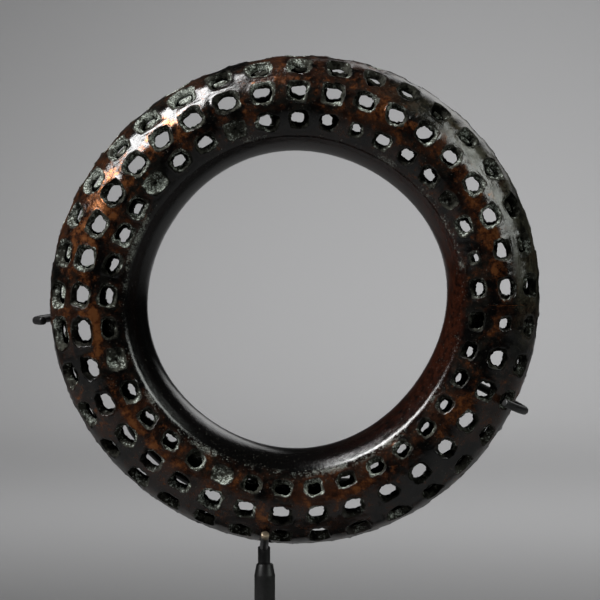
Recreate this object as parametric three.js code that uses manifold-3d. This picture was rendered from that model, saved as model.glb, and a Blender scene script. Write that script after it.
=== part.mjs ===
// A cast bronze bracelet, a closed hollow ring pierced by rows of holes, held upright on a display stand.
// Millimetres, Z up. The ring's open centre faces the front (-Y) and the base stands on z = 0.
import * as THREE from "three";
import { mergeVertices } from "three/addons/utils/BufferGeometryUtils.js";
import Module from "manifold-3d";

// Bracelet: size of the ring, and the thickness of its cast wall.
const RING_OUTER_DIAMETER = 117.6;
const RING_INNER_DIAMETER = 71;
const RING_WALL = 1.9;

// The ring isn't quite round. Each term is [waves in a full turn, height in mm, angle of the first crest].
const PATH_WAVER = [
  [2, 0.41, 39.4],
  [3, 0.12, 43.5],
  [4, 0.18, 9.8],
];
const TUBE_WAVER = [
  [1, 0.14, 190.9],
  [3, 0.17, 60.6],
  [4, 0.13, 60.8],
];

// Holes: columns round the ring, rows across its outer side. A row's angle is measured on the
// round section, from the front (0) to the outermost line (90) and on to the back (180).
const COLUMNS = 37;
const FIRST_COLUMN = 3.5;
const COLUMN_DRIFT = [
  [1, 0.66, 280],
  [2, 0.54, 9.7],
  [3, 0.21, 26.4],
  [4, 0.6, 37.8],
];
const ROWS = 7;
const ROW_PITCH = 35.4;
const ROW_PITCH_WAVER = [[1, 1.6, 50]];
const MIDDLE_ROW = 90;
const BAND_STRIPS = 3;

// How far each row lies off an even pitch, towards the back, and the size of its holes as a share of
// HOLE_SIZES. The last row is also turned a little round the ring, which fades in over two rows.
const ROW_LEANS = [0, 0, 0, 0, -5.3, -5.3, 3];
const ROW_SHARES = [1, 1, 1, 1, 0.74, 1, 0.86];
const TURNED_ROW = 6;
const ROW_TURN_WAVER = [[1, 1.4, 135]];
const FADE_ROWS = 2;

// Width along the ring and height across it of the holes of a row, from the first row to the middle one.
const HOLE_SIZES = [
  [4.9, 4.4],
  [5.6, 5.2],
  [5.7, 5.2],
  [5.8, 5.2],
];
const HOLE_SIZE_WAVER = [[1, 0.07, 150]];
const HOLE_TAPER = 0.76;
const HOLE_SQUARENESS = 2.7;
const HOLE_SIZE_SPREAD = 0.05;
const HOLE_SHIFT = 0.18;
const HOLE_TURN = 7;
const MOUTH_POINTS = 8;
const THROAT_POINTS = 4;

// Holes that the casting left closed, and holes that are much smaller or larger than their row,
// as [row, column] and [row, column, share of the row's size].
const CLOSED_HOLES = [
  [0, 3],
  [0, 11],
  [0, 14],
  [0, 20],
  [0, 25],
  [6, 19],
  [6, 24],
  [6, 36],
];
const ODD_HOLES = [
  [0, 1, 0.5],
  [0, 7, 0.7],
  [1, 36, 0.6],
  [1, 19, 1.22],
  [2, 19, 1.2],
  [4, 6, 1.3],
  [4, 7, 1.3],
  [4, 8, 1.3],
  [4, 28, 1.35],
];

// Stand: a plain plate, a post with a coned top, and a cradle of bent wire brazed to a stem.
const GAP = 0.3;
const BASE_WIDTH = 96;
const BASE_DEPTH = 66;
const BASE_THICKNESS = 12;
const BASE_CHAMFER = 1.2;
const POST_DIAMETER = 5;
const POST_SOCKET_DEPTH = 8;
const POST_TOP = 79.2;
const POST_CONE_HEIGHT = 2.9;
const STEM_DIAMETER = 3;
const STEM_INSERTION = 14;
const LIP = 0.3;
const WIRE_DIAMETER = 2;
const ROUND_SIDES = 20;
const WIRE_SIDES = 6;
const TIP_HEIGHT = 0.5;
const TIP_SHARE = 0.6;

// The stem stands left of the ring's centre, and the ring's lowest point is this high.
const RING_CENTRE_X = 7.6;
const RING_LOWEST = 84;

// Cradle: one wire runs behind the ring from the left prong to the right one, through these angles
// round the ring and on its section. It follows the ring, but runs nearly straight across the bottom.
const REAR_ROUTE = [
  [184.7, 170],
  [208, 170],
  [222, 161],
  [238, 159],
  [262, 187.5],
  [278, 188.5],
  [292, 178],
  [334, 177],
];

// A prong leaves that wire, passes round the outside of the ring and ends in front, at its tip angle.
const LEFT_PRONG = { aroundAngle: 184.7, tipAngle: 66, standoff: 2.4 };
const RIGHT_PRONG = { aroundAngle: 334, tipAngle: 40, standoff: 1.6 };
const LOWER_PRONG = { tipAngle: 45, standoff: 0 };
const ARC_STEPS = 24;
const PRONG_STEPS = 9;
const STANDOFF_END = 0.8;

// A cutting tool runs past a face by this much.
const OVERSHOOT = 1;

const wasm = await Module();
wasm.setup();

const TURN = 360;
const rad = THREE.MathUtils.degToRad;
const deg = THREE.MathUtils.radToDeg;

const PATH_RADIUS = (RING_OUTER_DIAMETER + RING_INNER_DIAMETER) / 4;
const TUBE_RADIUS = (RING_OUTER_DIAMETER - RING_INNER_DIAMETER) / 4;
const RING_CENTRE_Z = RING_LOWEST + RING_OUTER_DIAMETER / 2;
const WIRE_RADIUS = WIRE_DIAMETER / 2;
const STEM_RADIUS = STEM_DIAMETER / 2;
const POST_RADIUS = POST_DIAMETER / 2;

// Sum of waves at an angle round the ring.
function waves(terms, angle) {
  let sum = 0;
  for (const [count, height, crest] of terms) {
    sum += height * Math.cos(rad(count * (angle - crest)));
  }
  return sum;
}

// A repeatable value from -1 to 1 for a whole number and a use, so no two holes are quite alike.
const HAND_STEP = 0.7548776662;
const HAND_USES = { size: 0.12, turn: 0.35, along: 0.58, across: 0.81 };
function hand(n, use) {
  const s = ((n + 1) * (HAND_STEP + use)) ** 2;
  return 2 * (s - Math.floor(s)) - 1;
}

const pathRadius = (angle) => PATH_RADIUS + waves(PATH_WAVER, angle);
const tubeRadius = (angle) => TUBE_RADIUS + waves(TUBE_WAVER, angle);

// The point at an angle round the ring and an angle on its section, outside the surface by `out`.
function ringPoint(around, section, out) {
  const reach = tubeRadius(around) + out;
  const r = pathRadius(around) + reach * Math.sin(rad(section));
  return new THREE.Vector3(
    RING_CENTRE_X + r * Math.cos(rad(around)),
    -reach * Math.cos(rad(section)),
    RING_CENTRE_Z + r * Math.sin(rad(around)),
  );
}

const clamp = THREE.MathUtils.clamp;

// The angle round the ring of a column, where halves are the bars between two columns. `turned` is 1
// on the turned row and 0 on the rows that keep their columns.
function columnAngle(column, turned) {
  const even = (column * TURN) / COLUMNS;
  return FIRST_COLUMN + even + waves(COLUMN_DRIFT, even) + turned * waves(ROW_TURN_WAVER, even);
}

const rowPitch = (around) => ROW_PITCH + waves(ROW_PITCH_WAVER, around);
const rowTurned = (row) => clamp((row - TURNED_ROW + FADE_ROWS) / FADE_ROWS, 0, 1);

// The section angle of a row, where halves are the bars between two rows.
function rowAngle(row, around) {
  const low = ROW_LEANS[clamp(Math.floor(row), 0, ROWS - 1)];
  const high = ROW_LEANS[clamp(Math.ceil(row), 0, ROWS - 1)];
  return MIDDLE_ROW + (row - (ROWS - 1) / 2) * rowPitch(around) + (low + high) / 2;
}

// The loop of a hole's edge on one of the two surfaces: `corners` points of a rounded square.
function holeLoop(row, column, scale, corners, out) {
  const key = row * COLUMNS + column;
  const [width, height] = HOLE_SIZES[Math.min(row, ROWS - 1 - row)];
  const centre = columnAngle(column, rowTurned(row));
  const spread = HOLE_SIZE_SPREAD * hand(key, HAND_USES.size);
  const size = 1 + spread + waves(HOLE_SIZE_WAVER, centre);
  const half = (scale * ROW_SHARES[row] * size) / 2;
  const turn = rad(HOLE_TURN * hand(key, HAND_USES.turn));
  const shiftAlong = HOLE_SHIFT * hand(key, HAND_USES.along);
  const shiftAcross = HOLE_SHIFT * hand(key, HAND_USES.across);
  const section = rowAngle(row, centre);
  const reach = tubeRadius(centre);
  const r = pathRadius(centre) + reach * Math.sin(rad(section));
  const points = [];
  for (let i = 0; i < corners; i++) {
    const a = rad(loopAngle(i, corners));
    const c = Math.cos(a);
    const s = Math.sin(a);
    const soften =
      (Math.abs(c) ** HOLE_SQUARENESS + Math.abs(s) ** HOLE_SQUARENESS) **
      (-1 / HOLE_SQUARENESS);
    const u = width * half * soften * c;
    const v = height * half * soften * s;
    const along = u * Math.cos(turn) - v * Math.sin(turn) + shiftAlong;
    const across = u * Math.sin(turn) + v * Math.cos(turn) + shiftAcross;
    points.push(
      ringPoint(centre + deg(along / r), section + deg(across / reach), out),
    );
  }
  return points;
}

// The angle of a loop's point. A square's first corner lies at 225 degrees, and a loop of more
// points has a flat there, so that it faces the corner with one side.
const FIRST_CORNER = 225;
const SQUARE_POINTS = 4;
function loopAngle(i, corners) {
  const first = corners === SQUARE_POINTS ? FIRST_CORNER : FIRST_CORNER - TURN / (2 * corners);
  return first + (i * TURN) / corners;
}

// The mesh of the ring: shared corner points on both surfaces, filled in cell by cell.
function ringGeometry() {
  const positions = [];
  const index = [];
  const lines = ROWS + BAND_STRIPS;

  function add(point) {
    positions.push(point.x, point.y, point.z);
    return positions.length / 3 - 1;
  }

  function lineAngle(line, around) {
    if (line <= ROWS) {
      return rowAngle(line - 0.5, around);
    }
    const bandStart = rowAngle(ROWS - 0.5, around);
    const bandWidth = TURN + rowAngle(-0.5, around) - bandStart;
    return bandStart + ((line - ROWS) * bandWidth) / BAND_STRIPS;
  }

  // The turn of the last row fades out again across the band.
  function lineTurned(line) {
    return line <= ROWS ? rowTurned(line - 0.5) : 1 - (line - ROWS) / BAND_STRIPS;
  }

  function grid(out) {
    const ids = [];
    for (let column = 0; column < COLUMNS; column++) {
      const ring = [];
      for (let line = 0; line < lines; line++) {
        const around = columnAngle(column - 0.5, lineTurned(line));
        ring.push(add(ringPoint(around, lineAngle(line, around), out)));
      }
      ids.push(ring);
    }
    return ids;
  }

  function cell(ids, column, line) {
    const next = (column + 1) % COLUMNS;
    const above = (line + 1) % lines;
    return [ids[column][line], ids[next][line], ids[next][above], ids[column][above]];
  }

  function face(a, b, c, flip) {
    index.push(a, flip ? c : b, flip ? b : c);
  }

  function quad(loop, flip) {
    face(loop[0], loop[1], loop[2], flip);
    face(loop[0], loop[2], loop[3], flip);
  }

  // Fills the strip between two loops that turn the same way, the first one outside the second.
  function strip(outer, inner, flip) {
    let i = 0;
    let j = 0;
    while (i < outer.length || j < inner.length) {
      const nextOuter = loopAngle(i + 1, outer.length);
      const nextInner = loopAngle(j + 1, inner.length);
      const a = outer[i % outer.length];
      const b = inner[j % inner.length];
      if (j >= inner.length || (i < outer.length && nextOuter <= nextInner)) {
        face(a, outer[(i + 1) % outer.length], b, flip);
        i++;
      } else {
        face(inner[(j + 1) % inner.length], b, a, flip);
        j++;
      }
    }
  }

  const outside = grid(0);
  const inside = grid(-RING_WALL);
  for (let column = 0; column < COLUMNS; column++) {
    for (let line = 0; line < lines; line++) {
      const outerCell = cell(outside, column, line);
      const innerCell = cell(inside, column, line);
      const same = ([row, at]) => row === line && at === column;
      if (line >= ROWS || CLOSED_HOLES.some(same)) {
        quad(outerCell, true);
        quad(innerCell, false);
        continue;
      }
      const odd = ODD_HOLES.find(same);
      const scale = odd ? odd[2] : 1;
      const mouth = holeLoop(line, column, scale, MOUTH_POINTS, 0).map(add);
      const tapered = scale * HOLE_TAPER;
      const throat = holeLoop(line, column, tapered, THROAT_POINTS, -RING_WALL).map(add);
      strip(outerCell, mouth, true);
      strip(innerCell, throat, false);
      strip(throat, mouth, false);
    }
  }
  const geometry = new THREE.BufferGeometry();
  geometry.setAttribute("position", new THREE.Float32BufferAttribute(positions, 3));
  geometry.setIndex(index);
  return geometry;
}

// A round wire swept along a line of points, closed at both ends by a low dome.
const SWEEP_START_SIDE = new THREE.Vector3(0.37, 0.21, 0.9);
function wire(points) {
  const radius = WIRE_RADIUS;
  const sides = WIRE_SIDES;
  const start = points[0].clone().sub(points[1]).normalize();
  const end = points.at(-1).clone().sub(points.at(-2)).normalize();
  const stations = [
    { at: points[0].clone().addScaledVector(start, TIP_HEIGHT), share: TIP_SHARE },
    ...points.map((at) => ({ at, share: 1 })),
    { at: points.at(-1).clone().addScaledVector(end, TIP_HEIGHT), share: TIP_SHARE },
  ];
  const positions = [];
  const index = [];
  let side = null;
  stations.forEach(({ at, share }, i) => {
    const before = stations[Math.max(i - 1, 0)].at;
    const after = stations[Math.min(i + 1, stations.length - 1)].at;
    const along = after.clone().sub(before).normalize();
    if (!side) {
      side = SWEEP_START_SIDE.clone().cross(along);
    }
    side.addScaledVector(along, -side.dot(along)).normalize();
    const up = along.clone().cross(side);
    for (let k = 0; k < sides; k++) {
      const a = rad((k * TURN) / sides);
      const p = at
        .clone()
        .addScaledVector(side, share * radius * Math.cos(a))
        .addScaledVector(up, share * radius * Math.sin(a));
      positions.push(p.x, p.y, p.z);
    }
  });
  for (let i = 0; i < stations.length - 1; i++) {
    for (let k = 0; k < sides; k++) {
      const a = i * sides + k;
      const b = i * sides + ((k + 1) % sides);
      index.push(a, b, b + sides, a, b + sides, a + sides);
    }
  }
  const last = (stations.length - 1) * sides;
  for (let k = 1; k < sides - 1; k++) {
    index.push(0, k + 1, k, last, last + k, last + k + 1);
  }
  const geometry = new THREE.BufferGeometry();
  geometry.setAttribute("position", new THREE.Float32BufferAttribute(positions, 3));
  geometry.setIndex(index);
  return geometry;
}

// Between three.js geometry and a manifold solid.
function solid(geometry) {
  const bare = new THREE.BufferGeometry();
  bare.setAttribute("position", geometry.getAttribute("position"));
  bare.setIndex(geometry.getIndex());
  const merged = mergeVertices(bare, 1e-4);
  return new wasm.Manifold(
    new wasm.Mesh({
      numProp: 3,
      vertProperties: merged.attributes.position.array,
      triVerts: new Uint32Array(merged.index.array),
    }),
  );
}

function geometryOf(made) {
  const mesh = made.getMesh();
  const positions = new Float32Array(mesh.numVert * 3);
  for (let i = 0; i < mesh.numVert; i++) {
    for (let k = 0; k < 3; k++) {
      positions[i * 3 + k] = mesh.vertProperties[i * mesh.numProp + k];
    }
  }
  const geometry = new THREE.BufferGeometry();
  geometry.setAttribute("position", new THREE.BufferAttribute(positions, 3));
  geometry.setIndex(new THREE.BufferAttribute(new Uint32Array(mesh.triVerts), 1));
  return geometry;
}

// A cylinder or cone that stands on z = bottom.
function upright(bottomRadius, topRadius, bottom, height) {
  const geometry = new THREE.CylinderGeometry(topRadius, bottomRadius, height, ROUND_SIDES);
  geometry.rotateX(Math.PI / 2);
  geometry.translate(0, 0, bottom + height / 2);
  return solid(geometry);
}

// The post: a rod with a coned top and a socket for the stem.
function postGeometry() {
  const bottom = BASE_THICKNESS - POST_SOCKET_DEPTH + GAP;
  const coneBottom = POST_TOP - POST_CONE_HEIGHT;
  const mouth = STEM_RADIUS + GAP;
  const socketBottom = POST_TOP - STEM_INSERTION - GAP;
  return geometryOf(
    upright(POST_RADIUS, POST_RADIUS, bottom, coneBottom - bottom)
      .add(upright(POST_RADIUS, mouth + LIP, coneBottom, POST_CONE_HEIGHT))
      .subtract(upright(mouth, mouth, socketBottom, STEM_INSERTION + OVERSHOOT)),
  );
}

// The base: a plate with chamfered upper edges and a round socket for the post.
function baseGeometry() {
  const plate = new THREE.BoxGeometry(BASE_WIDTH, BASE_DEPTH, BASE_THICKNESS - BASE_CHAMFER);
  plate.translate(0, 0, (BASE_THICKNESS - BASE_CHAMFER) / 2);
  const slope = new THREE.CylinderGeometry(Math.SQRT1_2, Math.SQRT1_2, BASE_CHAMFER, 4);
  slope.rotateY(Math.PI / 4);
  slope.rotateX(Math.PI / 2);
  slope.translate(0, 0, BASE_THICKNESS - BASE_CHAMFER / 2);
  const position = slope.getAttribute("position");
  for (let i = 0; i < position.count; i++) {
    const inset = position.getZ(i) > BASE_THICKNESS - BASE_CHAMFER / 2 ? 2 * BASE_CHAMFER : 0;
    position.setX(i, position.getX(i) * (BASE_WIDTH - inset));
    position.setY(i, position.getY(i) * (BASE_DEPTH - inset));
  }
  const mouth = POST_RADIUS + GAP;
  const socket = BASE_THICKNESS - POST_SOCKET_DEPTH;
  return geometryOf(
    solid(plate)
      .add(solid(slope))
      .subtract(upright(mouth, mouth, socket, POST_SOCKET_DEPTH + OVERSHOOT)),
  );
}

// The section angle of the wire behind the ring, eased from one place of its route to the next.
function rearAngle(around) {
  const next = Math.max(1, REAR_ROUTE.findIndex(([at]) => at >= around));
  const [from, fromAngle] = REAR_ROUTE[next - 1];
  const [to, toAngle] = REAR_ROUTE[next];
  return fromAngle + (toAngle - fromAngle) * THREE.MathUtils.smoothstep(around, from, to);
}

// The points of a prong, from the wire behind the ring round its outside to the tip in front.
function prongPoints(around, tip, standoff) {
  const points = [];
  for (let i = 0; i <= PRONG_STEPS; i++) {
    const share = i / PRONG_STEPS;
    const section = THREE.MathUtils.lerp(rearAngle(around), tip, share);
    const loose = standoff * Math.sin(Math.PI * Math.min(1, share * STANDOFF_END));
    points.push(ringPoint(around, section, GAP + WIRE_RADIUS + loose));
  }
  return points;
}

// The angle round the ring at which the stem meets it from below.
const STEM_AROUND = 270 - deg(Math.asin(RING_CENTRE_X / (RING_OUTER_DIAMETER / 2)));

function cradleGeometry() {
  const arc = [];
  const arcTurn = RIGHT_PRONG.aroundAngle - LEFT_PRONG.aroundAngle;
  for (let i = 0; i <= ARC_STEPS; i++) {
    const around = LEFT_PRONG.aroundAngle + (arcTurn * i) / ARC_STEPS;
    arc.push(ringPoint(around, rearAngle(around), GAP + WIRE_RADIUS));
  }
  const saddle = ringPoint(STEM_AROUND, 90, GAP + WIRE_RADIUS);
  const stemBottom = POST_TOP - STEM_INSERTION;
  const wires = [
    wire(arc),
    wire(prongPoints(LEFT_PRONG.aroundAngle, LEFT_PRONG.tipAngle, LEFT_PRONG.standoff)),
    wire(prongPoints(RIGHT_PRONG.aroundAngle, RIGHT_PRONG.tipAngle, RIGHT_PRONG.standoff)),
    wire(prongPoints(STEM_AROUND, LOWER_PRONG.tipAngle, LOWER_PRONG.standoff)),
  ];
  const stem = upright(STEM_RADIUS, STEM_RADIUS, stemBottom, saddle.z - stemBottom);
  return geometryOf(wires.map(solid).reduce((sum, next) => sum.add(next), stem));
}

const bronze = new THREE.MeshStandardMaterial({ color: 0x3a2a1c, roughness: 0.35, metalness: 0.9 });
const blackWire = new THREE.MeshStandardMaterial({ color: 0x1b1b1c, roughness: 0.5, metalness: 0.7 });
const blackPost = new THREE.MeshStandardMaterial({ color: 0x202022, roughness: 0.5, metalness: 0.7 });
const blackPaint = new THREE.MeshStandardMaterial({ color: 0x242424, roughness: 0.6, metalness: 0.2 });

const group = new THREE.Group();

function node(name, geometry, material) {
  const mesh = new THREE.Mesh(geometry, material);
  mesh.name = name;
  group.add(mesh);
}

node("bracelet", ringGeometry(), bronze);
node("cradle", cradleGeometry(), blackWire);
node("post", postGeometry(), blackPost);
node("base", baseGeometry(), blackPaint);

export default group;
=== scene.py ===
"""A cast bronze bracelet, a hollow ring pierced by rows of holes, on a black wire cradle, post and plate."""

import math
import random

import bmesh
import bpy
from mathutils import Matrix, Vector


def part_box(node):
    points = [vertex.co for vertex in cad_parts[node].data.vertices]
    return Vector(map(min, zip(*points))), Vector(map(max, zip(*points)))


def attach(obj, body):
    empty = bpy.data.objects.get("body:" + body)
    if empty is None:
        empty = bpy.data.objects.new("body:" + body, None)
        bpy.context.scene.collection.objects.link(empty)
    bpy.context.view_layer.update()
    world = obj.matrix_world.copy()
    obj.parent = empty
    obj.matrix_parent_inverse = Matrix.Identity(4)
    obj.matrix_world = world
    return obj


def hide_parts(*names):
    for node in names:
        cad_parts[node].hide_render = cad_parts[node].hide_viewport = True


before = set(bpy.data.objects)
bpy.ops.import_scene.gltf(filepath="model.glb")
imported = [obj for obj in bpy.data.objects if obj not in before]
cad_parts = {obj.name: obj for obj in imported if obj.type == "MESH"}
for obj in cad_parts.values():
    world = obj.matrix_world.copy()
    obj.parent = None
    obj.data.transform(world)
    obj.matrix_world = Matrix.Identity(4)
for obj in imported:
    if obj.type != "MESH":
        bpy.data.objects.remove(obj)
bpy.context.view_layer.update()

MM = 0.001
IMAGE_WIDTH = 600

# The ring's sizes, the same as the solid's.
RING_OUTER_DIAMETER = 117.6 * MM
RING_INNER_DIAMETER = 71 * MM
RING_WALL = 1.9 * MM
RING_CENTRE = Vector((7.6 * MM, 0, 142.8 * MM))
PATH_RADIUS = (RING_OUTER_DIAMETER + RING_INNER_DIAMETER) / 4
TUBE_RADIUS = (RING_OUTER_DIAMETER - RING_INNER_DIAMETER) / 4
# Each term is (waves in a full turn, height, angle of the first crest in degrees).
PATH_WAVER = [(2, 0.41 * MM, 39.4), (3, 0.12 * MM, 43.5), (4, 0.18 * MM, 9.8)]
TUBE_WAVER = [(1, 0.14 * MM, 190.9), (3, 0.17 * MM, 60.6), (4, 0.13 * MM, 60.8)]

# Holes: columns round the ring and rows across its outer side.
COLUMNS = 37
ROWS = 7
FIRST_COLUMN = 3.5
COLUMN_DRIFT = [(1, 0.66, 280), (2, 0.54, 9.7), (3, 0.21, 26.4), (4, 0.6, 37.8)]
ROW_PITCH = 35.4
ROW_PITCH_WAVER = [(1, 1.6, 50)]
MIDDLE_ROW = 90
# The fifth and sixth rows lie nearer the outermost line than an even pitch would put them, and the last row
# a little further off. The last row is also turned a little round the ring.
LEANING_ROWS = (4, 5)
ROW_LEAN = -5.3
LAST_ROW_LEAN = 3
TURNED_ROW = 6
# Size of a row's holes as a share of HOLE_SIZES.
ROW_SHARES = [1, 1, 1, 1, 0.74, 1, 0.86]
ROW_TURN_WAVER = [(1, 1.4, 135)]
FADE_ROWS = 2
# Hole sizes in millimetres, round the ring and across it, from the outer rows in to the middle one.
HOLE_SIZES = [(4.9, 4.4), (5.6, 5.3), (5.7, 5.3), (5.8, 5.3)]
HOLE_SIZE_WAVER = [(1, 0.07, 150)]
# How far the founder's hand lets a hole stray: its size, its turn in radians, and its place in its cell.
HOLE_SIZE_RANGE = (0.9, 1.08)
HOLE_TURN = 0.14
HOLE_OFF_CENTRE = 0.03
# A hole's half width and half height are at most these shares of its cell.
WIDEST_HOLE = 0.42
TALLEST_HOLE = 0.44
# No point of a hole's edge lies further than this from the middle of its cell.
HOLE_REACH = 0.46
# Power of the rounded square: 2 is a circle, and more is squarer.
HOLE_SQUARENESS = 2.7
CLOSED_HOLES = {(0, 3), (0, 11), (0, 14), (0, 20), (0, 25), (6, 19), (6, 24), (6, 36)}
ODD_HOLES = {(0, 1): 0.5, (0, 7): 0.7, (1, 36): 0.6, (1, 19): 1.22, (2, 19): 1.2}
ODD_HOLES.update({(4, 6): 1.3, (4, 7): 1.3, (4, 8): 1.3, (4, 28): 1.35})
# Closed and half closed holes that are filled with pale crust, with how much.
CRUSTED_HOLES = {(0, 14): 1.5, (0, 20): 1.6, (0, 25): 0.8, (0, 1): 1.2, (0, 11): 0.2, (0, 3): 0, (1, 19): 0.2}
# Half widths on the section, in degrees, of the raised edge of the inner band and of the worn shoulder
# between the second and the third row.
BAND_EDGE_WIDTH = 5
SHOULDER_WIDTH = 16
# Rows from the middle row out to that shoulder.
SHOULDER_ROWS_OUT = 1.52
SIDE_STEPS = 7
HAND_SEED = 37

# Stand.
GAP = 0.12 * MM
STEM_RADIUS = 1.5 * MM
WIRE_RADIUS = 1.0 * MM
POST_RADIUS = 2.5 * MM
POST_TOP = 79.2 * MM
POST_CONE_HEIGHT = 2.9 * MM
POST_SOCKET_DEPTH = 13 * MM
STEM_INSERTION = 14 * MM
PLATE_CORNER = 1.5 * MM
PLATE_EDGE = 1.1 * MM


class Number:
    """An output inside a node tree. Arithmetic on it adds Math nodes."""

    def __init__(self, tree, socket):
        self.tree = tree
        self.socket = socket

    def math(self, operation, *others):
        node = self.tree.nodes.new("ShaderNodeMath")
        node.operation = operation
        for slot, value in enumerate((self, *others)):
            plug(self.tree, value, node.inputs[slot])
        return Number(self.tree, node.outputs[0])

    def flipped(self, operation, other):
        node = self.tree.nodes.new("ShaderNodeMath")
        node.operation = operation
        plug(self.tree, other, node.inputs[0])
        plug(self.tree, self, node.inputs[1])
        return Number(self.tree, node.outputs[0])

    def __add__(self, other):
        return self.math("ADD", other)

    def __sub__(self, other):
        return self.math("SUBTRACT", other)

    def __mul__(self, other):
        return self.math("MULTIPLY", other)

    def __truediv__(self, other):
        return self.math("DIVIDE", other)

    def __pow__(self, other):
        return self.math("POWER", other)

    def __rsub__(self, other):
        return self.flipped("SUBTRACT", other)

    def __rtruediv__(self, other):
        return self.flipped("DIVIDE", other)

    __radd__ = __add__
    __rmul__ = __mul__

    def sin(self):
        return self.math("SINE")

    def cos(self):
        return self.math("COSINE")

    def abs(self):
        return self.math("ABSOLUTE")

    def clamp(self, low, high):
        return self.math("MAXIMUM", low).math("MINIMUM", high)

    def between(self, start, end):
        """0 below start, 1 above end, and a smooth step between them."""
        node = self.tree.nodes.new("ShaderNodeMapRange")
        node.interpolation_type = "SMOOTHSTEP"
        plug(self.tree, self, node.inputs["Value"])
        node.inputs["From Min"].default_value = start
        node.inputs["From Max"].default_value = end
        return Number(self.tree, node.outputs["Result"])

    def mix(self, other, share):
        return self + (other - self) * share


def plug(tree, value, socket):
    """Connects a Number, or sets a plain value."""
    if isinstance(value, Number):
        tree.links.new(value.socket, socket)
    else:
        socket.default_value = value


def waves(angle, terms):
    """Sum of waves at an angle in radians, a Number or a plain one."""
    total = 0
    for count, height, crest in terms:
        turned = (angle - math.radians(crest)) * count
        wave = turned.cos() if isinstance(angle, Number) else math.cos(turned)
        total = wave * height + total
    return total


def combine(tree, x, y, z):
    node = tree.nodes.new("ShaderNodeCombineXYZ")
    for slot, value in enumerate((x, y, z)):
        plug(tree, value, node.inputs[slot])
    return Number(tree, node.outputs[0])


def parts_of(tree, vector):
    node = tree.nodes.new("ShaderNodeSeparateXYZ")
    plug(tree, vector, node.inputs[0])
    return [Number(tree, out) for out in node.outputs]


def vector_math(tree, operation, a, b=None, scale=None):
    node = tree.nodes.new("ShaderNodeVectorMath")
    node.operation = operation
    plug(tree, a, node.inputs[0])
    if b is not None:
        plug(tree, b, node.inputs[1])
    if scale is not None:
        plug(tree, scale, node.inputs["Scale"])
    return Number(tree, node.outputs[0])


def noise(tree, vector, scale, detail=2.0, roughness=0.5, distortion=0.0):
    node = tree.nodes.new("ShaderNodeTexNoise")
    plug(tree, vector, node.inputs["Vector"])
    node.inputs["Scale"].default_value = scale
    node.inputs["Detail"].default_value = detail
    node.inputs["Roughness"].default_value = roughness
    node.inputs["Distortion"].default_value = distortion
    return Number(tree, node.outputs[0])


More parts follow.
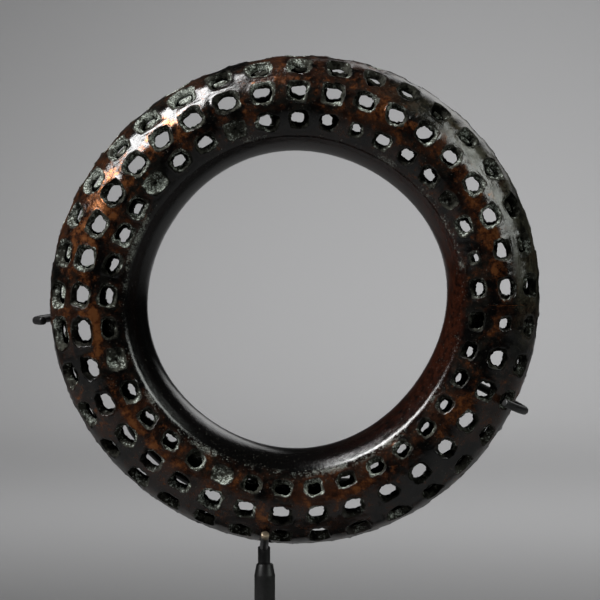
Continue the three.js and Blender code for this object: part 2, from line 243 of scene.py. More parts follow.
class Builder:
    """A geometry tree with named inputs, whose end joins, finishes and outputs the mesh."""

    def __init__(self, name):
        self.tree = bpy.data.node_groups.new(name, "GeometryNodeTree")
        self.tree.interface.new_socket("Geometry", in_out="INPUT", socket_type="NodeSocketGeometry")
        self.tree.interface.new_socket("Geometry", in_out="OUTPUT", socket_type="NodeSocketGeometry")
        self.start = self.tree.nodes.new("NodeGroupInput")
        self.end = self.tree.nodes.new("NodeGroupOutput")
        self.values = {}

    def input(self, name, value):
        kind = "NodeSocketInt" if isinstance(value, int) else "NodeSocketFloat"
        item = self.tree.interface.new_socket(name, in_out="INPUT", socket_type=kind)
        self.values[item.identifier] = value
        return Number(self.tree, self.start.outputs[name])

    def node(self, kind, _settings=None, **inputs):
        node = self.tree.nodes.new(kind)
        for key, value in (_settings or {}).items():
            setattr(node, key, value)
        for key, value in inputs.items():
            plug(self.tree, value, node.inputs[key.replace("_", " ")])
        return node

    def out(self, node, name=0):
        return Number(self.tree, node.outputs[name])

    def attribute(self, name):
        node = self.node("GeometryNodeInputNamedAttribute", {"data_type": "FLOAT"}, Name=name)
        return self.out(node, "Attribute")

    def store(self, geometry, name, value):
        settings = {"data_type": "FLOAT", "domain": "POINT"}
        kind = "GeometryNodeStoreNamedAttribute"
        return self.out(self.node(kind, settings, Geometry=geometry, Name=name, Value=value))

    def pick(self, index, values):
        """The value at a whole-number index."""
        node = self.tree.nodes.new("GeometryNodeIndexSwitch")
        node.data_type = "FLOAT"
        while len(node.index_switch_items) < len(values):
            node.index_switch_items.new()
        plug(self.tree, index, node.inputs[0])
        for slot, value in enumerate(values):
            plug(self.tree, value, node.inputs[slot + 1])
        return self.out(node)

    def grid(self, wide, high, steps_wide, steps_high):
        """A flat grid round the origin."""
        sizes = {"Size_X": wide, "Size_Y": high}
        points = {"Vertices_X": steps_wide + 1, "Vertices_Y": steps_high + 1}
        return self.out(self.node("GeometryNodeMeshGrid", **sizes, **points))

    def whole(self, value):
        return self.out(self.node("FunctionNodeFloatToInt", {"rounding_mode": "ROUND"}, Float=value))

    def position(self):
        return self.out(self.tree.nodes.new("GeometryNodeInputPosition"))

    def normal(self):
        return self.out(self.tree.nodes.new("GeometryNodeInputNormal"))

    def place(self, geometry, position):
        return self.out(self.node("GeometryNodeSetPosition", Geometry=geometry, Position=position))

    def shift(self, geometry, offset):
        return self.out(self.node("GeometryNodeSetPosition", Geometry=geometry, Offset=offset))

    def join(self, *geometries):
        node = self.tree.nodes.new("GeometryNodeJoinGeometry")
        for geometry in geometries:
            self.tree.links.new(geometry.socket, node.inputs[0])
        return self.out(node)

    def merge(self, geometry, distance):
        return self.out(self.node("GeometryNodeMergeByDistance", Geometry=geometry, Distance=distance))

    def finish(self, geometry, material):
        smooth = self.out(self.node("GeometryNodeSetShadeSmooth", Geometry=geometry))
        real = self.out(self.node("GeometryNodeRealizeInstances", Geometry=smooth))
        set_material = self.node("GeometryNodeSetMaterial", Geometry=real)
        set_material.inputs["Material"].default_value = material
        self.tree.links.new(set_material.outputs[0], self.end.inputs[0])

    def bake(self, obj):
        """Runs the tree on obj and returns a plain mesh object of the result."""
        modifier = obj.modifiers.new(self.tree.name, "NODES")
        modifier.node_group = self.tree
        for identifier, value in self.values.items():
            modifier[identifier] = value
        bpy.context.view_layer.update()
        depsgraph = bpy.context.evaluated_depsgraph_get()
        mesh = bpy.data.meshes.new_from_object(obj.evaluated_get(depsgraph), depsgraph=depsgraph)
        name = obj.name
        obj.modifiers.remove(modifier)
        bpy.data.objects.remove(obj)
        made = bpy.data.objects.new(name, mesh)
        bpy.context.scene.collection.objects.link(made)
        return made


THROUGH, DIMPLE, CAP = 0, 1, 2
# How a hole's ring of points runs from the cell's edge outside (0) to its edge inside (12).
# share: 1 at the cell's edge, 0 on the hole's outline; grow: size of that outline;
# depth: share of the wall below the outer surface.
PROFILES = {
    THROUGH: {
        "share": [1, 0.66, 0.38, 0.16, 0, 0, 0, 0, 0, 0, 0.2, 0.6, 1],
        "grow": [1, 1, 1, 1, 1, 0.93, 0.85, 0.79, 0.76, 0.78, 0.82, 1, 1],
        "depth": [0, 0, 0, -0.04, -0.02, 0.16, 0.42, 0.68, 0.9, 1, 1, 1, 1],
    },
    DIMPLE: {
        "share": [1, 0.66, 0.38, 0.16, 0, 0, 0, 0, 0, 0, 0, 0, 0],
        "grow": [1, 1, 1, 1, 1, 0.9, 0.75, 0.55, 0.36, 0.18, 0, 0, 0],
        "depth": [0, 0, 0, -0.04, -0.02, 0.14, 0.3, 0.36, 0.4, 0.42, 0.43, 0.43, 0.43],
    },
    CAP: {
        "share": [0, 0, 0, 0, 0, 0, 0, 0, 0, 0, 0.3, 0.66, 1],
        "grow": [0, 0, 0, 0, 0, 0, 0, 0.25, 0.5, 0.75, 1, 1, 1],
        "depth": [1] * 13,
    },
}
# How much pale crust each ring of points carries, and how far it is darkened to near black deeper into the
# hole.
CRUST = [0, 0, 0.05, 0.4, 0.8, 1, 1, 1, 0.9, 0.6, 0.2, 0, 0]
DEEP_DARK = [0, 0, 0, 0, 0, 0, 0.05, 0.15, 0.3, 0.7, 0.9, 1, 1]
RINGS = len(CRUST) - 1


def hole_cells():
    """A mesh of one point for each hole, which carries the hole's own sizes."""
    rng = random.Random(HAND_SEED)
    names = ("column", "row", "kind", "wide", "tall", "turn", "aside", "across", "crusted")
    rows = {name: [] for name in names}
    for row in range(ROWS):
        width, height = HOLE_SIZES[min(row, ROWS - 1 - row)]
        section = math.radians(MIDDLE_ROW + (row - (ROWS - 1) / 2) * ROW_PITCH)
        along = math.tau * (PATH_RADIUS + TUBE_RADIUS * math.sin(section)) / COLUMNS
        across = TUBE_RADIUS * math.radians(ROW_PITCH)
        for column in range(COLUMNS):
            place = math.radians(FIRST_COLUMN + column * 360 / COLUMNS)
            size = ODD_HOLES.get((row, column), 1) * ROW_SHARES[row] * (1 + waves(place, HOLE_SIZE_WAVER))
            wide = width * MM * size * rng.uniform(*HOLE_SIZE_RANGE) / along / 2
            tall = height * MM * size * rng.uniform(*HOLE_SIZE_RANGE) / across / 2
            values = {
                "column": column,
                "row": row,
                "wide": min(wide, WIDEST_HOLE),
                "tall": min(tall, TALLEST_HOLE),
                "turn": rng.gauss(0, HOLE_TURN),
                "aside": rng.uniform(-HOLE_OFF_CENTRE, HOLE_OFF_CENTRE),
                "across": rng.uniform(-HOLE_OFF_CENTRE, HOLE_OFF_CENTRE),
                "crusted": CRUSTED_HOLES.get((row, column), rng.random()),
            }
            kinds = (DIMPLE, CAP) if (row, column) in CLOSED_HOLES else (THROUGH,)
            for kind in kinds:
                for name in names:
                    rows[name].append(kind if name == "kind" else values[name])
    mesh = bpy.data.meshes.new("holes")
    mesh.vertices.add(len(rows["kind"]))
    for name in names:
        layer = mesh.attributes.new(name, "FLOAT", "POINT")
        layer.data.foreach_set("value", [float(v) for v in rows[name]])
    obj = bpy.data.objects.new("bronze_ring", mesh)
    bpy.context.scene.collection.objects.link(obj)
    return obj


def square_side(along):
    """One coordinate of a point that runs once round a square as along goes from 0 to 4."""
    away = ((along + 4.5).math("MODULO", 4.0) - 2.0).abs()
    return (2.0 - away * 2.0).clamp(-1.0, 1.0)


def ring_tree(material):
    b = Builder("pierced ring")
    path_radius = b.input("Path Radius", PATH_RADIUS)
    tube_radius = b.input("Tube Radius", TUBE_RADIUS)
    wall = b.input("Wall", RING_WALL)
    columns = b.input("Columns", float(COLUMNS))
    row_pitch = b.input("Row Pitch", math.radians(ROW_PITCH))
    ridge = b.input("Band Edge Height", 0.4 * MM)
    flattened = b.input("Shoulder Wear", 0.34 * MM)
    lumps = b.input("Lump Height", 0.24 * MM)
    pits = b.input("Pit Depth", 0.16 * MM)
    grains = b.input("Crust Grain Height", 0.35 * MM)
    ragged = b.input("Ragged Edge", 0.4)

    # The strip of one cell: points round the hole by rings from outside to inside.
    turns = 4 * SIDE_STEPS
    grid = b.grid(float(turns), float(RINGS), turns, RINGS)
    x, y, _ = parts_of(b.tree, b.position())
    strip = b.store(grid, "lane", x + turns / 2)
    strip = b.store(strip, "ring", y + RINGS / 2)
    placed = b.node("GeometryNodeInstanceOnPoints", Points=Number(b.tree, b.start.outputs[0]), Instance=strip)
    cells = b.out(b.node("GeometryNodeRealizeInstances", Geometry=b.out(placed)))

    lane = b.attribute("lane") / float(SIDE_STEPS)
    edge_x = square_side(lane - 2.0)
    edge_y = square_side(lane - 3.0)
    facing = edge_y.math("ARCTAN2", edge_x)
    cos, sin = facing.cos(), facing.sin()
    round_off = (cos.abs() ** HOLE_SQUARENESS + sin.abs() ** HOLE_SQUARENESS) ** (-1 / HOLE_SQUARENESS)
    cell_id = b.attribute("column") * 3.1 + b.attribute("row") * 17.3
    ring = b.attribute("ring")
    wobble = noise(b.tree, combine(b.tree, cos * 1.0, sin * 1.0, cell_id + ring * 0.16), 1.15, 2.0, 0.6)
    chips = noise(b.tree, combine(b.tree, cos * 4.0, sin * 4.0, cell_id + ring * 0.5), 1.0, 1.0, 0.6)
    radius = round_off * ((wobble - 0.5) * ragged * 2.0 + (chips - 0.5) * ragged * 0.9 + 1.0)
    turn = b.attribute("turn")
    flat_x = cos * radius * b.attribute("wide")
    flat_y = sin * radius * b.attribute("tall")
    index = b.whole(ring)
    kind = b.whole(b.attribute("kind"))

    def at_ring(values):
        return b.pick(index, [float(v) for v in values])

    def profile(name):
        return b.pick(kind, [at_ring(PROFILES[k][name]) for k in (THROUGH, DIMPLE, CAP)])

    share, grow, depth = profile("share"), profile("grow"), profile("depth")
    hole_x = (flat_x * turn.cos() - flat_y * turn.sin()) * grow + b.attribute("aside")
    hole_y = (flat_x * turn.sin() + flat_y * turn.cos()) * grow + b.attribute("across")
    hole_x = hole_x.clamp(-HOLE_REACH, HOLE_REACH)
    hole_y = hole_y.clamp(-HOLE_REACH, HOLE_REACH)
    cells = b.store(cells, "u", b.attribute("column") + hole_x.mix(edge_x * 0.5, share))
    cells = b.store(cells, "v", b.attribute("row") + hole_y.mix(edge_y * 0.5, share))
    cells = b.store(cells, "depth", depth)
    gathers = b.attribute("crusted") * 0.5 + 0.6
    cells = b.store(cells, "crust", at_ring(CRUST) * gathers)
    cells = b.store(cells, "deep_dark", at_ring(DEEP_DARK))
    cells = b.store(cells, "bar", share * edge_x.abs())

    # The plain band inside the ring: one grid outside and one inside the wall.
    band = 360 / ROW_PITCH - ROWS
    bands = []
    for deep, steps, deep_dark in ((0.0, 16, 0.0), (1.0, 5, 1.0)):
        sheet = b.grid(float(COLUMNS), band, COLUMNS * SIDE_STEPS, steps)
        px, py, _ = parts_of(b.tree, b.position())
        made = b.store(sheet, "u", px + (COLUMNS - 1) / 2)
        made = b.store(made, "v", py + (ROWS - 0.5 + band / 2))
        made = b.store(made, "depth", deep)
        made = b.store(made, "crust", 0.0)
        made = b.store(made, "bar", 0.0)
        made = b.store(made, "deep_dark", deep_dark)
        if deep:
            made = b.out(b.node("GeometryNodeFlipFaces", Mesh=made))
        bands.append(made)
    whole = b.join(cells, *bands)

    # Wrap the flat (u, v, depth) sheet round the ring.
    even = b.attribute("u") * math.tau / columns
    drift = waves(even, COLUMN_DRIFT) * math.radians(1)
    row = b.attribute("v")
    lean = (row - (LEANING_ROWS[0] - 1)).math("MINIMUM", (LEANING_ROWS[1] + 1.0) - row)
    lean = lean.clamp(0.0, 1.0) * math.radians(ROW_LEAN)
    back = (row - LEANING_ROWS[1]).math("MINIMUM", (ROWS - 0.5 + band - row) / band).clamp(0.0, 1.0)
    lean = lean + back * math.radians(LAST_ROW_LEAN)
    turned = ((row - (TURNED_ROW - FADE_ROWS)) / FADE_ROWS).math("MINIMUM", (ROWS - 0.5 + band - row) / band)
    turned = turned.clamp(0.0, 1.0) * waves(even, ROW_TURN_WAVER) * math.radians(1)
    around = even + drift + turned + math.radians(FIRST_COLUMN)
    pitch = row_pitch + waves(around, ROW_PITCH_WAVER) * math.radians(1)
    # Rows keep their pitch out to the pierced edge, and the band takes up what is left of the turn.
    rows_out = b.attribute("v") - (ROWS - 1) / 2
    half_rows = ROWS / 2
    in_band = (rows_out - half_rows).clamp(0.0, band)
    band_step = (math.tau - pitch * ROWS) / band
    off_middle = rows_out.math("MINIMUM", half_rows) * pitch + in_band * band_step + lean
    section = off_middle + math.radians(MIDDLE_ROW)
    # The angle from the innermost line is the same in front and behind, so each crease lies at one value.
    off_inner = ((section - math.radians(MIDDLE_ROW)).cos() * -1.0).math("ARCCOSINE")
    band_edge = math.pi - pitch * half_rows
    shoulder = math.pi - pitch * SHOULDER_ROWS_OUT
    off_edge = (off_inner - band_edge).abs() / math.radians(BAND_EDGE_WIDTH)
    raise_by = (1.0 / (off_edge + 1.0) ** 2.0 - 0.3) * ridge
    off_shoulder = (off_inner - shoulder) / math.radians(SHOULDER_WIDTH)
    raise_by = raise_by - (1.0 - off_shoulder * off_shoulder).clamp(0.0, 1.0) * flattened
    reach = tube_radius + waves(around, TUBE_WAVER) + raise_by - wall * b.attribute("depth")
    out_by = path_radius + waves(around, PATH_WAVER) + reach * section.sin()
    spot = combine(
        b.tree,
        out_by * around.cos() + RING_CENTRE.x,
        reach * section.cos() * -1.0,
        out_by * around.sin() + RING_CENTRE.z,
    )
    whole = b.place(whole, spot)
    # Angles round the ring and on the section, for the patina. The section's is 0 in front and behind.
    whole = b.store(whole, "around", around)
    whole = b.store(whole, "section", math.radians(MIDDLE_ROW) - (section - math.radians(MIDDLE_ROW)).abs())
    whole = b.store(whole, "pierced", (off_inner - band_edge).between(-0.06, 0.10))
    whole = b.store(whole, "edge_line", 1.0 - (off_inner - band_edge).abs().between(0.02, 0.09))
    whole = b.merge(whole, 0.02 * MM)

    # Hand-made unevenness: broad lumps, then small pits, less of both on the worn inner band.
    here = b.position()
    coarse = noise(b.tree, here, 85.0, 2.0, 0.5) - 0.5
    middle = noise(b.tree, here, 330.0, 2.0, 0.55) - 0.5
    fine = noise(b.tree, here, 900.0, 1.0, 0.5)
    grit = noise(b.tree, here, 1100.0, 2.0, 0.6)
    pierced = b.attribute("pierced") * 0.8 + 0.2
    outside = 1.0 - b.attribute("depth")
    rough = coarse * lumps * (pierced * 0.6 + 0.4) + middle * lumps * pierced
    pitted = fine.between(0.58, 0.75) * pits * pierced * outside
    gritty = (grit - 0.45) * b.attribute("crust").clamp(0.0, 1.0) * grains * outside
    move = vector_math(b.tree, "SCALE", b.normal(), scale=(rough - pitted + gritty))
    whole = b.shift(whole, move)
    b.finish(whole, material)
    return b


def new_material(name):
    made = bpy.data.materials.new(name)
    made.use_nodes = True
    tree = made.node_tree
    shader = tree.nodes["Principled BSDF"]
    return made, tree, shader


def attribute(tree, name):
    node = tree.nodes.new("ShaderNodeAttribute")
    node.attribute_name = name
    return Number(tree, node.outputs["Fac"])


def object_place(tree):
    return Number(tree, tree.nodes.new("ShaderNodeTexCoord").outputs["Object"])


def blend_colour(tree, a, b, share):
    node = tree.nodes.new("ShaderNodeMix")
    node.data_type = "RGBA"
    plug(tree, share, node.inputs[0])
    plug(tree, a, node.inputs[6])
    plug(tree, b, node.inputs[7])
    return Number(tree, node.outputs[2])


def bump(tree, height, distance, strength, below=None):
    node = tree.nodes.new("ShaderNodeBump")
    node.inputs["Strength"].default_value = strength
    node.inputs["Distance"].default_value = distance
    plug(tree, height, node.inputs["Height"])
    if below is not None:
        plug(tree, below, node.inputs["Normal"])
    return Number(tree, node.outputs[0])


def colour(r, g, b):
    return (r, g, b, 1.0)


# Where the patina is worn to warm copper: angle round the ring, half width of it, angle on the section,
# half width of it (all in degrees) and strength.
WORN_PLACES = [
    (20, 36, 8, 13, 0.6),
    (62, 14, 12, 14, 0.8),
    (92, 14, 30, 8, 0.5),
    (128, 22, 22, 24, 0.8),
    (155, 22, 26, 30, 1.1),
    (172, 18, 14, 16, 0.8),
    (188, 9, 4, 10, 1.5),
    (218, 26, 4, 8, 0.6),
    (262, 6, 30, 16, 0.9),
    (290, 16, 0, 8, 0.5),
    (330, 20, 6, 14, 0.5),
]

# Where more crust shows: angle round the ring, half width of it in degrees, and how much more. Elsewhere the
# pale crust is cut back, and that cut-back is partly painted shade on hole walls out of the upper left lamp's
# light.
CRUST_AND_SHADE_PLACES = [(128, 62, 0.75), (30, 40, 0.3), (246, 10, 0.4)]
CRUST_IN_PAINTED_SHADE = 0.5


def bronze_patina():
    made, tree, shader = new_material("bronze_patina")
    here = object_place(tree)
    x, y, z = parts_of(tree, vector_math(tree, "SUBTRACT", here, tuple(RING_CENTRE)))
    deep_dark = attribute(tree, "deep_dark")
    pierced = attribute(tree, "pierced")
    bar = attribute(tree, "bar")
    edge_line = attribute(tree, "edge_line")
    around = attribute(tree, "around")
    # Crust share round the ring. Its cut-back away from the upper left is partly painted shade.
    gathers = None
    for angle, half, more in CRUST_AND_SHADE_PLACES:
        off = (around - math.radians(angle) + math.pi * 3).math("MODULO", math.tau) - math.pi
        lobe = 1.0 - off.abs().between(0.0, math.radians(half))
        gathers = lobe * more + (CRUST_IN_PAINTED_SHADE if gathers is None else gathers)
    crust = attribute(tree, "crust") * gathers
    section = attribute(tree, "section")

    broad = noise(tree, here, 60.0, 3.0, 0.6)
    patch = noise(tree, here, 190.0, 5.0, 0.6, 0.4)
    mottle = noise(tree, here, 650.0, 5.0, 0.7)
    speck = noise(tree, here, 1700.0, 3.0, 0.6)
    fine = noise(tree, here, 3000.0, 2.0, 0.6)
    flecks = noise(tree, vector_math(tree, "ADD", here, (0.3, 0.1, 0.2)), 420.0, 4.0, 0.7)
    open_air = (1.0 - deep_dark).clamp(0.0, 1.0)

    # Black patina, turning red-brown in broad soft patches with black mottling.
    black = colour(0.0018, 0.0016, 0.0016)
    brown = colour(0.026, 0.0105, 0.0060)
    brownish = ((broad - 0.5) * 1.0 + patch * 0.4 + mottle * 0.6).between(0.42, 0.64)
    base = blend_colour(tree, black, brown, brownish * pierced)

    # Warm copper where the patina has worn.
    zone = None
    for angle, half, at, reach, strength in WORN_PLACES:
        off = (around - math.radians(angle) + math.pi * 3).math("MODULO", math.tau) - math.pi
        off = off.abs() / math.radians(half)
        aside = (section - math.radians(at)).abs() / math.radians(reach)
        lobe = (1.0 - (off * off + aside * aside)).clamp(0.0, 1.0) * strength
        zone = lobe if zone is None else zone.math("MAXIMUM", lobe)
    grainy = patch * 0.5 + flecks * 0.3 + mottle * 0.2
    worn = (grainy + (broad - 0.5) * 0.3 + zone * 0.14 + bar * 0.03).between(0.52, 0.70)
    worn = worn * pierced * open_air
    thin = worn * (zone * 0.08 + mottle * 0.5 + flecks * 0.3 + speck * 0.2).between(0.46, 0.64)
    copper = blend_colour(tree, colour(0.12, 0.036, 0.010), colour(0.34, 0.125, 0.042), thin)
    base = blend_colour(tree, base, colour(0.042, 0.0125, 0.0045), worn)
    # Bright metal on the lips of some holes.
    lip = crust.between(0.01, 0.08) * (1.0 - crust.between(0.2, 0.4)) * zone.between(0.2, 0.7)
    thin = thin.math("MAXIMUM", lip * (patch * 0.5 + speck * 0.5).between(0.46, 0.60))
    base = blend_colour(tree, base, copper, thin)

    # The smooth band inside: red-brown on the right, maroon above, black at the left and below.
    right = x / (RING_OUTER_DIAMETER / 2)
    up = z / (RING_OUTER_DIAMETER / 2)
    red = (1.0 - pierced) * (right * 0.8 + up * 0.3).between(-0.2, 0.7)
    base = blend_colour(tree, base, colour(0.035, 0.009, 0.004), red * mottle.between(0.3, 0.62))

    # Grey-green film, mostly on the outer right. On the outer right shoulder a dull green-grey tone is partly
    # that film and partly a painted sheen where the right lamp's reflection falls.
    film = (patch - mottle * 0.3).between(0.30, 0.44) * pierced * (1.0 - worn)
    shoulder = section.between(math.radians(24), math.radians(36))
    olive_film_and_sheen = right.between(0.25, 0.8) * (up + 0.35).between(0.0, 0.5) * shoulder
    base = blend_colour(tree, base, colour(0.018, 0.017, 0.014), film * 0.35)
    # Patches on the right shoulder: part film, part painted sheen.
    green_sheen_patches = olive_film_and_sheen * (patch * 0.5 + mottle * 0.3 + speck * 0.2).between(0.38, 0.60)
    base = blend_colour(tree, base, colour(0.065, 0.062, 0.042), green_sheen_patches)

    # Near black deeper in the holes and inside the tube, and grey-green crust on the walls and rims of the
    # holes.
    base = blend_colour(tree, base, colour(0.0025, 0.0025, 0.0025), deep_dark)
    wall = crust.between(0.15, 0.45)
    base = blend_colour(tree, base, colour(0.006, 0.006, 0.005), wall)
    gathered = crust * 0.2 + flecks * 0.5 + mottle * 0.5 + (broad - 0.5) * 0.7
    base = blend_colour(tree, base, colour(0.05, 0.05, 0.041), wall * gathered.between(0.50, 0.66))
    broken = gathered + (speck - 0.5) * 0.6 + (patch - 0.5) * 0.5
    flake = broken.between(0.66, 0.78) * crust.between(0.15, 0.4)
    dotted = flecks * 0.5 + speck * 0.5 + (broad - 0.5) * 1.2
    seam = edge_line * gathers * dotted.between(0.54, 0.66) * 0.6
    flake = flake.math("MAXIMUM", seam)
    pale = blend_colour(tree, colour(0.13, 0.14, 0.12), colour(0.70, 0.76, 0.68), fine.between(0.42, 0.62))
    base = blend_colour(tree, base, pale, flake)

    # Small pale specks everywhere outside.
    specks = (speck * 0.6 + fine * 0.4).between(0.60, 0.68) * open_air
    base = blend_colour(tree, base, colour(0.16, 0.155, 0.13), specks * 0.4)
    plug(tree, base, shader.inputs["Base Color"])

    metal = thin * 0.7 * (1.0 - flake) * (1.0 - olive_film_and_sheen)
    plug(tree, metal.clamp(0.0, 1.0), shader.inputs["Metallic"])
    rough = mottle * 0.16 + speck * 0.16 + thin * 0.08 + olive_film_and_sheen * film * 0.12 - 0.02
    rough = rough + flake * 0.6 + wall * 0.5 + deep_dark * 0.5
    plug(tree, rough.clamp(0.10, 0.95), shader.inputs["Roughness"])
    shine = 0.52 - (wall + deep_dark).clamp(0.0, 1.0) * 0.6
    plug(tree, shine, shader.inputs["Specular IOR Level"])
    dents = bump(tree, mottle, 0.2 * MM, 0.25)
    grain = bump(tree, speck * 0.6 + fine * 0.4, 0.1 * MM, 0.4, dents)
    plug(tree, grain, shader.inputs["Normal"])
    return made


def black_finish(name, tone, roughness, worn_near=()):
    """Black paint on steel. worn_near holds (place, reach) pairs where bright metal shows."""
    made, tree, shader = new_material(name)
    here = object_place(tree)
    mottle = noise(tree, here, 900.0, 4.0, 0.6)
    cloud = noise(tree, here, 120.0, 3.0, 0.6)
    dark, light = tone * 0.7, tone * 1.4
    grain = mottle.between(0.35, 0.65)
    base = blend_colour(tree, colour(dark, dark, dark), colour(light, light, light), grain)
    bare = None
    for place, reach in worn_near:
        away = tree.nodes.new("ShaderNodeVectorMath")
        away.operation = "DISTANCE"
        plug(tree, here, away.inputs[0])
        away.inputs[1].default_value = tuple(place)
        near = 1.0 - (Number(tree, away.outputs["Value"]) / reach + (mottle - 0.5) * 0.9).between(0.55, 1.0)
        bare = near if bare is None else bare.math("MAXIMUM", near)
    if bare is not None:
        base = blend_colour(tree, base, colour(0.52, 0.42, 0.3), bare)
        plug(tree, bare, shader.inputs["Metallic"])
    plug(tree, base, shader.inputs["Base Color"])
    rough = cloud * 0.2 + mottle * 0.12 + (roughness - 0.16)
    plug(tree, rough, shader.inputs["Roughness"])
    plug(tree, bump(tree, mottle, 0.05 * MM, 0.35), shader.inputs["Normal"])
    return made


# The wire behind the ring runs through these angles round the ring and on its section.
REAR_ROUTE = [
    (184.7, 170),
    (208, 170),
    (222, 161),
    (238, 159),
    (262, 187.5),
    (278, 188.5),
    (292, 178),
    (334, 177),
]
STEM_AROUND = 270 - math.degrees(math.asin(RING_CENTRE.x / (RING_OUTER_DIAMETER / 2)))
LEFT_PRONG = {"around": 184.7, "tip": 66, "standoff": 2.4 * MM}
RIGHT_PRONG = {"around": 334, "tip": 40, "standoff": 1.6 * MM}
LOWER_PRONG = {"around": STEM_AROUND, "tip": 45, "standoff": 0}
STANDOFF_END = 0.8
ARC_STEPS = 90
STEM_STEPS = 12
# The lower prong's tip, where the paint has worn off.
WORN_TIP_REACH = 1.7 * MM


def ring_point(around, section, out):
    """A point outside the ring's round surface, at two angles in degrees."""
    a, s = math.radians(around), math.radians(section)
    reach = TUBE_RADIUS + waves(a, TUBE_WAVER) + out
    r = PATH_RADIUS + waves(a, PATH_WAVER) + reach * math.sin(s)
    return RING_CENTRE + Vector((r * math.cos(a), -reach * math.cos(s), r * math.sin(a)))


def rear_angle(around):
    """The section angle of the wire behind the ring, eased from one place of its route to the next."""
    for (start, low), (end, high) in zip(REAR_ROUTE, REAR_ROUTE[1:]):
        if around <= end:
            share = max(0.0, (around - start) / (end - start))
            return low + (high - low) * share * share * (3 - 2 * share)
    return REAR_ROUTE[-1][1]


def prong_points(prong, steps=24):
    points = []
    rear = rear_angle(prong["around"])
    for i in range(steps + 1):
        share = i / steps
        section = rear + (prong["tip"] - rear) * share
        loose = prong["standoff"] * math.sin(math.pi * min(1, share * STANDOFF_END))
        points.append(ring_point(prong["around"], section, GAP + WIRE_RADIUS + loose))
    return points


def wire_lines():
    """The centre lines of the cradle's wires, with their radii."""
    left, right = LEFT_PRONG["around"], RIGHT_PRONG["around"]
    arc = []
    for i in range(ARC_STEPS + 1):
        around = left + (right - left) * i / ARC_STEPS
        arc.append(ring_point(around, rear_angle(around), GAP + WIRE_RADIUS))
    lines = [(arc, WIRE_RADIUS)]
    for prong in (LEFT_PRONG, RIGHT_PRONG, LOWER_PRONG):
        lines.append((prong_points(prong), WIRE_RADIUS))
    saddle = ring_point(LOWER_PRONG["around"], 90, GAP + WIRE_RADIUS)
    bottom = Vector((saddle.x, saddle.y, POST_TOP - STEM_INSERTION))
    lines.append(([bottom.lerp(saddle, i / STEM_STEPS) for i in range(STEM_STEPS + 1)], STEM_RADIUS))
    return lines


def cradle(material):
    curve = bpy.data.curves.new("cradle_lines", "CURVE")
    curve.dimensions = "3D"
    for points, radius in wire_lines():
        spline = curve.splines.new("POLY")
        spline.points.add(len(points) - 1)
        for spot, point in zip(spline.points, points):
            spot.co = (*point, 1)
            spot.radius = radius / WIRE_RADIUS
    lines = bpy.data.objects.new("black_cradle", curve)
    bpy.context.scene.collection.objects.link(lines)
    b = Builder("bent wire")
    wire = b.input("Wire Radius", WIRE_RADIUS)
    sides = b.input("Sides", 24)
    circle = b.node("GeometryNodeCurvePrimitiveCircle", Resolution=sides, Radius=wire)
    centre_lines = Number(b.tree, b.start.outputs[0])
    swept = b.node("GeometryNodeCurveToMesh", Curve=centre_lines, Profile_Curve=b.out(circle))
    swept.inputs["Fill Caps"].default_value = True
    if "Scale" in swept.inputs:
        radius = b.out(b.tree.nodes.new("GeometryNodeInputRadius"))
        plug(b.tree, radius, swept.inputs["Scale"])
    b.finish(b.out(swept), material)
    made = b.bake(lines)
    for kind, settings in (
        ("REMESH", {"mode": "VOXEL", "voxel_size": 0.2 * MM, "use_smooth_shade": True}),
        ("SMOOTH", {"factor": 0.5, "iterations": 6}),
    ):
        modifier = made.modifiers.new(kind.lower(), kind)
        for key, value in settings.items():
            setattr(modifier, key, value)
    depsgraph = bpy.context.evaluated_depsgraph_get()
    mesh = bpy.data.meshes.new_from_object(made.evaluated_get(depsgraph), depsgraph=depsgraph)
    mesh.materials.clear()
    mesh.materials.append(material)
    made.modifiers.clear()
    made.data = mesh
    return made


def turned_solid(name, profile, material, centre, sides=96):
    """A closed solid turned round a vertical line from (radius, height) points."""
    mesh = bpy.data.meshes.new(name)
    bm = bmesh.new()
    loops = []
    for radius, height in profile:
        if radius == 0:
            loops.append([bm.verts.new((centre[0], centre[1], height))])
            continue
        loop = []
        for k in range(sides):
            a = math.tau * k / sides
            x, y = radius * math.cos(a), radius * math.sin(a)
            loop.append(bm.verts.new((centre[0] + x, centre[1] + y, height)))
        loops.append(loop)
    for low, high in zip(loops, loops[1:]):
        for k in range(sides):
            below = [low[k % len(low)], low[(k + 1) % len(low)]]
            above = [high[(k + 1) % len(high)], high[k % len(high)]]
            bm.faces.new(list(dict.fromkeys(below + above)))
    bmesh.ops.recalc_face_normals(bm, faces=bm.faces)
    for face in bm.faces:
        face.smooth = True
    bm.to_mesh(mesh)
    bm.free()
    mesh.materials.append(material)
    made = bpy.data.objects.new(name, mesh)
    bpy.context.scene.collection.objects.link(made)
    return made


def post(material):
    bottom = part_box("post")[0].z
    edge = 0.25 * MM
    mouth = STEM_RADIUS + 0.08 * MM
    cone_bottom = POST_TOP - POST_CONE_HEIGHT
    lip = mouth + 0.3 * MM
    profile = [
        (0, bottom),
        (POST_RADIUS - edge, bottom),
        (POST_RADIUS, bottom + edge),
        (POST_RADIUS, cone_bottom - 0.3 * MM),
        (POST_RADIUS + 0.03 * MM, cone_bottom - 0.12 * MM),
        (POST_RADIUS - 0.02 * MM, cone_bottom + 0.05 * MM),
        (lip + 0.15 * MM, POST_TOP - 0.3 * MM),
        (lip, POST_TOP - 0.08 * MM),
        (lip - 0.1 * MM, POST_TOP),
        (mouth, POST_TOP),
        (mouth, POST_TOP - POST_SOCKET_DEPTH),
        (0, POST_TOP - POST_SOCKET_DEPTH),
    ]
    return turned_solid("black_post", profile, material, (0, 0))


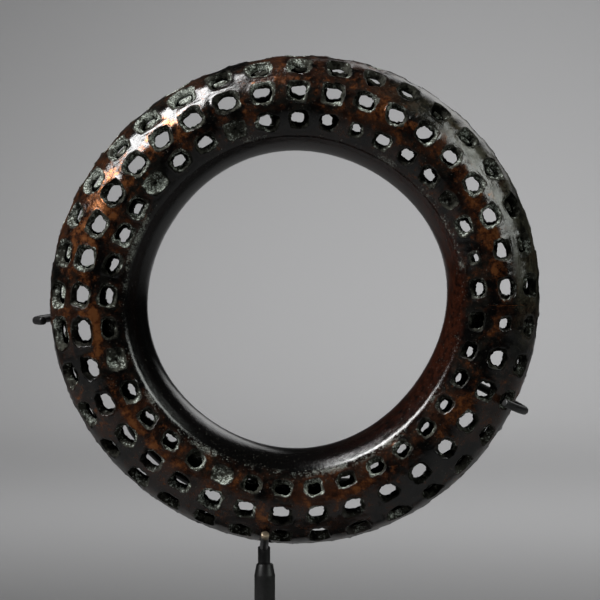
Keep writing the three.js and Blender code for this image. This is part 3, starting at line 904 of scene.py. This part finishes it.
def plate(material):
    low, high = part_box("base")
    mesh = bpy.data.meshes.new("black_plate")
    bm = bmesh.new()
    bmesh.ops.create_cube(bm, size=1)
    size = high - low
    for vert in bm.verts:
        vert.co = Vector((vert.co.x * size.x, vert.co.y * size.y, (vert.co.z + 0.5) * size.z))
    uprights = [e for e in bm.edges if abs(e.verts[0].co.z - e.verts[1].co.z) > size.z / 2]
    bmesh.ops.bevel(bm, geom=uprights, offset=PLATE_CORNER, segments=6, profile=0.5, affect="EDGES")
    top = [e for e in bm.edges if all(v.co.z > size.z * 0.99 for v in e.verts) and len(e.link_faces) == 2]
    rim = [e for e in top if any(abs(f.normal.z) < 0.5 for f in e.link_faces)]
    bmesh.ops.bevel(bm, geom=rim, offset=PLATE_EDGE, segments=5, profile=0.5, affect="EDGES")
    bm.to_mesh(mesh)
    bm.free()
    mesh.materials.append(material)
    made = bpy.data.objects.new("black_plate", mesh)
    bpy.context.scene.collection.objects.link(made)
    for face in mesh.polygons:
        face.use_smooth = True
    mesh.set_sharp_from_angle(angle=math.radians(40))
    return made


ring = ring_tree(bronze_patina()).bake(hole_cells())
tips = [(prong_points(LOWER_PRONG)[-1], WORN_TIP_REACH)]
wires = cradle(black_finish("black_wire", 0.012, 0.42, tips))
rod = post(black_finish("black_post", 0.010, 0.45))
foot = plate(black_finish("black_plate", 0.014, 0.5))

for piece, node, slot in (
    (ring, "bracelet", "bronze"),
    (wires, "cradle", "wire"),
    (rod, "post", "post_black"),
    (foot, "base", "plate_black"),
):
    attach(piece, "root")
    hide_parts(node)


def sweep():
    """A floor that curves up into a wall well behind the stand: pale towards the wall, with painted shade
    darkening it near the ring and in front.
    """
    mesh = bpy.data.meshes.new("sweep")
    bm = bmesh.new()
    half, front, bend, radius, height = 3.0, -3.0, 1.8, 0.5, 2.5
    line = [(front, 0), (bend, 0)]
    for i in range(1, 17):
        a = math.pi / 2 * i / 16
        line.append((bend + radius * math.sin(a), radius - radius * math.cos(a)))
    line.append((bend + radius, height))
    rows = [[bm.verts.new((side * half, y, z)) for side in (-1, 1)] for y, z in line]
    for near, far in zip(rows, rows[1:]):
        bm.faces.new((near[0], near[1], far[1], far[0])).smooth = True
    bm.to_mesh(mesh)
    bm.free()
    made = bpy.data.objects.new("sweep", mesh)
    bpy.context.scene.collection.objects.link(made)
    paint, tree, shader = new_material("paper_painted_shade_front")
    cloud = noise(tree, object_place(tree), 2.0, 2.0, 0.5)
    depth = parts_of(tree, object_place(tree))[1]
    # Painted shade: the paper is darker near the ring and in front, so the bronze mirrors dark surroundings.
    paper = blend_colour(tree, colour(0.2, 0.2, 0.2), colour(0.42, 0.42, 0.425), depth.between(0.3, 0.9))
    paper = blend_colour(tree, paper, colour(0.45, 0.45, 0.45), cloud.between(0.3, 0.7) * 0.1)
    plug(tree, paper, shader.inputs["Base Color"])
    shader.inputs["Roughness"].default_value = 0.9
    mesh.materials.append(paint)


def from_ring(direction, distance):
    return RING_CENTRE + Vector(direction).normalized() * distance


WHITE = (1, 1, 1)
FAINT_GREEN = (0.95, 1, 0.95)
# Each lamp is (name, place, what it is aimed at, size, watts, tint, spread in degrees). Narrow beams keep the
# light off the paper near the ring, so that the bronze mirrors dark surroundings.
LAMPS = [
    ("soft_upper_left", from_ring((-0.57, -0.28, 0.77), 1.1), RING_CENTRE, (0.26, 0.95), 2.7, WHITE, 60),
    ("soft_right", from_ring((0.80, -0.38, 0.46), 1.2), RING_CENTRE, (0.26, 0.8), 0.6, FAINT_GREEN, 64),
    ("wall_wash", Vector((0.89, 0.98, 1.3)), Vector((0.05, 2.1, 0.1)), (0.42, 0.42), 1.38, WHITE, 36),
    ("floor_wash", Vector((0.7, 1.0, 1.4)), Vector((0.0, 1.3, 0.0)), (0.4, 0.4), 2.6, WHITE, 60),
    ("soft_behind", from_ring((0.40, 0.72, 0.56), 1.15), RING_CENTRE, (0.7, 0.7), 0.3, WHITE, 60),
]
SURROUNDINGS = 0.02


def area_light(name, place, target, size, power, tint, spread):
    data = bpy.data.lights.new(name, "AREA")
    data.shape = "RECTANGLE"
    data.size, data.size_y = size
    data.energy = power
    data.color = tint
    data.spread = math.radians(spread)
    lamp = bpy.data.objects.new(name, data)
    lamp.location = place
    lamp.rotation_euler = (target - place).to_track_quat("-Z", "Y").to_euler()
    bpy.context.scene.collection.objects.link(lamp)


sweep()
for lamp in LAMPS:
    area_light(*lamp)

world = bpy.data.worlds.new("studio")
bpy.context.scene.world = world
world.use_nodes = True
world.node_tree.nodes["Background"].inputs["Color"].default_value = colour(0.5, 0.5, 0.5)
world.node_tree.nodes["Background"].inputs["Strength"].default_value = SURROUNDINGS

# The camera: angles in degrees, distances in metres, and where the ring's centre falls in the picture.
CAMERA_AZIMUTH = 0.8
CAMERA_ELEVATION = 2.2
CAMERA_DISTANCE = 1.5
RING_PIXEL = (296.3, 299.2)
PIXEL_SIZE = 0.2403 * MM
SENSOR = 36

camera_data = bpy.data.cameras.new("camera")
camera_data.sensor_width = SENSOR
camera_data.lens = SENSOR * CAMERA_DISTANCE / (IMAGE_WIDTH * PIXEL_SIZE)
camera_data.clip_start = 0.01
camera = bpy.data.objects.new("camera", camera_data)
azimuth, elevation = math.radians(CAMERA_AZIMUTH), math.radians(CAMERA_ELEVATION)
toward = Vector(
    (math.sin(azimuth) * math.cos(elevation), -math.cos(azimuth) * math.cos(elevation), math.sin(elevation))
)
facing = (-toward).to_track_quat("-Z", "Y")
across = (IMAGE_WIDTH / 2 - RING_PIXEL[0]) * PIXEL_SIZE
upward = (RING_PIXEL[1] - IMAGE_WIDTH / 2) * PIXEL_SIZE
aim = RING_CENTRE + facing @ Vector((across, upward, 0))
camera.location = aim + toward * CAMERA_DISTANCE
camera.rotation_euler = facing.to_euler()
bpy.context.scene.collection.objects.link(camera)
bpy.context.scene.camera = camera
bpy.context.scene.view_settings.view_transform = "Standard"
